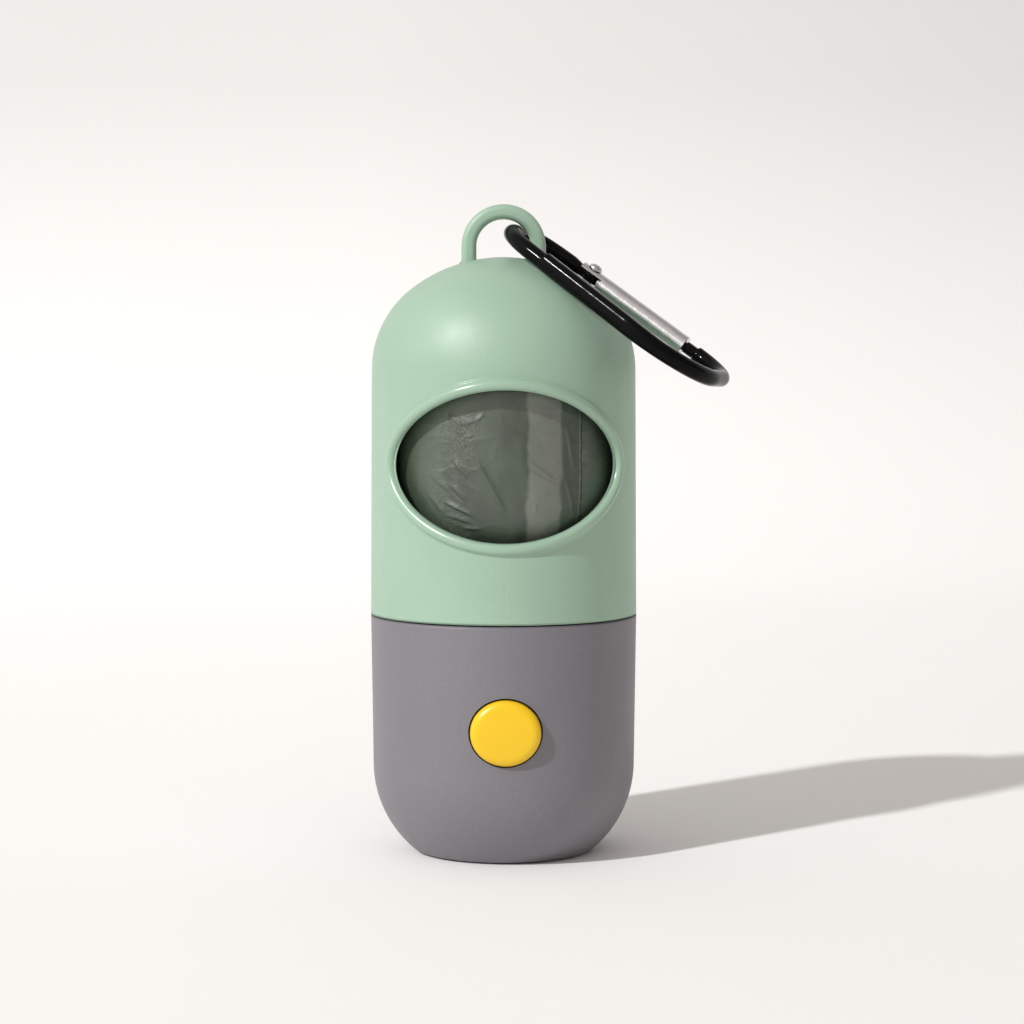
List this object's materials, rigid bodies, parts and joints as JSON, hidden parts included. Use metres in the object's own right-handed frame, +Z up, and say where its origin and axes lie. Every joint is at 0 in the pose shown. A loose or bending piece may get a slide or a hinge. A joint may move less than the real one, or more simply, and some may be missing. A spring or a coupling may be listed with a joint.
{
  "type": "dog poop bag dispenser",
  "caption": "Capsule-shaped waste-bag dispenser in two screwed halves with an oval bag window, a push-button torch in its base and a carabiner on its top loop.",
  "frame": {"origin": "centre of the base, in the plane that the base ring stands on", "axes": "+Z up along the capsule's axis, -Y towards the front, where the window and the button are, +X to the right seen from the front"},
  "size_m": [0.0616, 0.0473, 0.1117],
  "materials": {
    "green_casing": "satin",
    "grey_casing": "satin",
    "black_coated_bar": "gloss",
    "gate_metal": "satin",
    "steel": "satin",
    "spring_steel": "satin",
    "bag_film": "satin",
    "card": "matte",
    "black_plastic": "satin",
    "seal_rubber": "matte",
    "board_laminate": "gloss",
    "component_black": "matte",
    "plunger_white": "satin",
    "bulb_epoxy": "gloss",
    "cell_steel": "satin",
    "contact_metal": "satin",
    "reflector_plating": "gloss",
    "lens_clear": "gloss",
    "button_yellow": "satin"
  },
  "bodies": {
    "lower": {"lower_shell": "grey_casing", "chassis": "black_plastic", "battery_cover": "black_plastic", "cover_screws": "steel", "chassis_screws": "steel", "circuit_board": "board_laminate", "board_screws": "steel", "push_switch": "component_black", "led": "bulb_epoxy", "resistor": "component_black", "cell_1": "cell_steel", "cell_2": "cell_steel", "cell_3": "cell_steel", "contact_plate": "contact_metal", "contact_spring": "contact_metal", "reflector": "reflector_plating", "lens": "lens_clear", "base_ring": "black_plastic"},
    "seal": {"neck_seal": "seal_rubber"},
    "upper": {"upper_shell": "green_casing"},
    "carabiner": {"carabiner_frame": "black_coated_bar", "gate_rivet": "steel"},
    "gate": {"carabiner_gate": "gate_metal", "gate_spring": "spring_steel", "gate_plunger": "steel"},
    "roll": {"roll_core": "card", "bag_roll": "bag_film"},
    "button": {"button_cap": "button_yellow", "switch_plunger": "plunger_white"}
  },
  "joints": [
    {"name": "shell_turn", "type": "hinge", "parent": "lower", "child": "seal", "pos_m": [0, 0, 0.0412], "axis": [0, 0, 1], "range_deg": [0, 450]},
    {"name": "shell_lift", "type": "slide", "parent": "seal", "child": "upper", "axis": [0, 0, 1], "range_m": [0, 0.01001]},
    {"name": "carabiner_swing", "type": "hinge", "parent": "upper", "child": "carabiner", "pos_m": [0.00164, 0, 0.10701], "axis": [-0.3237, -0.9456, 0.0318], "range_deg": [0, 240]},
    {"name": "gate_open", "type": "hinge", "parent": "carabiner", "child": "gate", "pos_m": [0.01529, 0.00827, 0.09945], "axis": [-0.5509, 0.1611, -0.8189], "range_deg": [0, 20], "stiffness_Nm_per_rad": 0.12, "springref_deg": -11.46},
    {"name": "roll_spin", "type": "hinge", "parent": "lower", "child": "roll", "pos_m": [0, 0, 0.0337], "axis": [0, 0, 1], "continuous": true},
    {"name": "button_press", "type": "slide", "parent": "lower", "child": "button", "axis": [0, 1, 0], "range_m": [0, 0.001], "stiffness_N_per_m": 1500, "springref_m": -0.0005}
  ],
  "couplings": [
    {"joint": "shell_lift", "follows": "shell_turn", "m_per_rad": 0.0012732}
  ]
}
